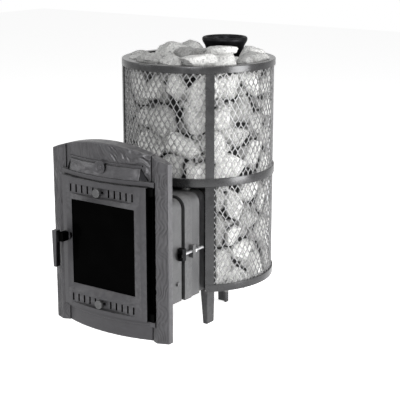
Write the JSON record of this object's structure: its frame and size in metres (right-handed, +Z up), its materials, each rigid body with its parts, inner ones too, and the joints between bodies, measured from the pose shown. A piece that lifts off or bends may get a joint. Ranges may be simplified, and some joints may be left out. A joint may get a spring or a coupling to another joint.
{
  "type": "wood-fired sauna heater",
  "caption": "Wood-fired sauna heater: round mesh cage of stones on cast legs, firebox fed through a tunnel from a bow-front cast portal with glazed door, air slides and latch.",
  "frame": {"origin": "on the floor, in the middle of the heater's overall width and length", "axes": "+Z up, -Y is the portal's front, +X to the right of someone who faces the door"},
  "size_m": [0.5, 0.7972, 0.9308],
  "materials": {
    "portal_iron": "satin grey heat-proof coat on rough castings",
    "band_steel": "satin dark grey heat-proof paint",
    "mesh_steel": "dull bare expanded steel",
    "stone": "tumbled white and pale grey cobbles",
    "black_iron": "matt black heat-proof paint",
    "tunnel_iron": "mid grey raw casting",
    "leg_iron": "dark grey raw casting",
    "plate_steel": "black sheet steel",
    "door_glass": "dark ceramic fire glass",
    "rope": "black sealing rope",
    "bright_steel": "zinc-plated",
    "fire_iron": "sooty casting"
  },
  "bodies": {
    "stove": {"cage_top_ring": "band_steel", "cage_middle_ring": "band_steel", "cage_bottom_ring": "band_steel", "cage_post_upper_front_right": "band_steel", "cage_post_upper_rear_right": "band_steel", "cage_post_upper_rear_left": "band_steel", "cage_post_upper_front_left": "band_steel", "cage_post_lower_front_right": "band_steel", "cage_post_lower_rear_right": "band_steel", "cage_post_lower_rear_left": "band_steel", "cage_post_lower_front_left": "band_steel", "cage_mesh_upper": "mesh_steel", "cage_mesh_lower": "mesh_steel", "base_plate": "plate_steel", "leg_front_right": "leg_iron", "leg_front_left": "leg_iron", "leg_rear": "leg_iron", "firebox_shell": "fire_iron", "firebox_top": "fire_iron", "grate": "fire_iron", "flame_baffle": "fire_iron", "ash_pan": "plate_steel", "flue_riser": "black_iron", "flue_collar": "black_iron", "stone_fill": "stone", "stone_heap": "stone", "stone_shelf": "plate_steel", "screen_right": "plate_steel", "screen_left": "plate_steel", "tunnel_front": "tunnel_iron", "tunnel_seal": "rope", "tunnel_rear": "tunnel_iron", "clamp_hook_right": "plate_steel", "clamp_lug_right": "tunnel_iron", "clamp_bolt_right": "bright_steel", "tunnel_bolt_right": "tunnel_iron", "clamp_hook_left": "plate_steel", "clamp_lug_left": "tunnel_iron", "clamp_bolt_left": "bright_steel", "tunnel_bolt_left": "tunnel_iron", "portal_pilaster_left": "portal_iron", "portal_pilaster_right": "portal_iron", "portal_crown": "portal_iron", "portal_apron": "portal_iron", "portal_plate": "portal_iron", "crown_plaque": "portal_iron", "crown_medallion": "portal_iron", "hinge_pin_upper": "bright_steel", "hinge_pin_lower": "bright_steel"},
    "door": {"door_frame": "portal_iron", "door_glass": "door_glass", "glass_retainer": "plate_steel", "door_seal": "rope"},
    "latch": {"door_handle": "portal_iron", "latch_spindle": "bright_steel", "latch_tongue": "plate_steel"},
    "upper_air": {"upper_slide": "plate_steel", "upper_knob": "portal_iron"},
    "lower_air": {"lower_slide": "plate_steel", "lower_knob": "portal_iron"}
  },
  "joints": [
    {"name": "door_hinge", "type": "hinge", "parent": "stove", "child": "door", "pos_m": [0.173, -0.32835, 0.35], "axis": [0, 0, 1], "range_deg": [0, 110]},
    {"name": "latch_turn", "type": "hinge", "parent": "door", "child": "latch", "pos_m": [-0.139, -0.35135, 0.369], "axis": [0, 1, 0], "range_deg": [0, 75]},
    {"name": "upper_air_slide", "type": "slide", "parent": "door", "child": "upper_air", "axis": [1, 0, 0], "range_m": [0, 0.011]},
    {"name": "lower_air_slide", "type": "slide", "parent": "door", "child": "lower_air", "axis": [1, 0, 0], "range_m": [0, 0.011]}
  ]
}
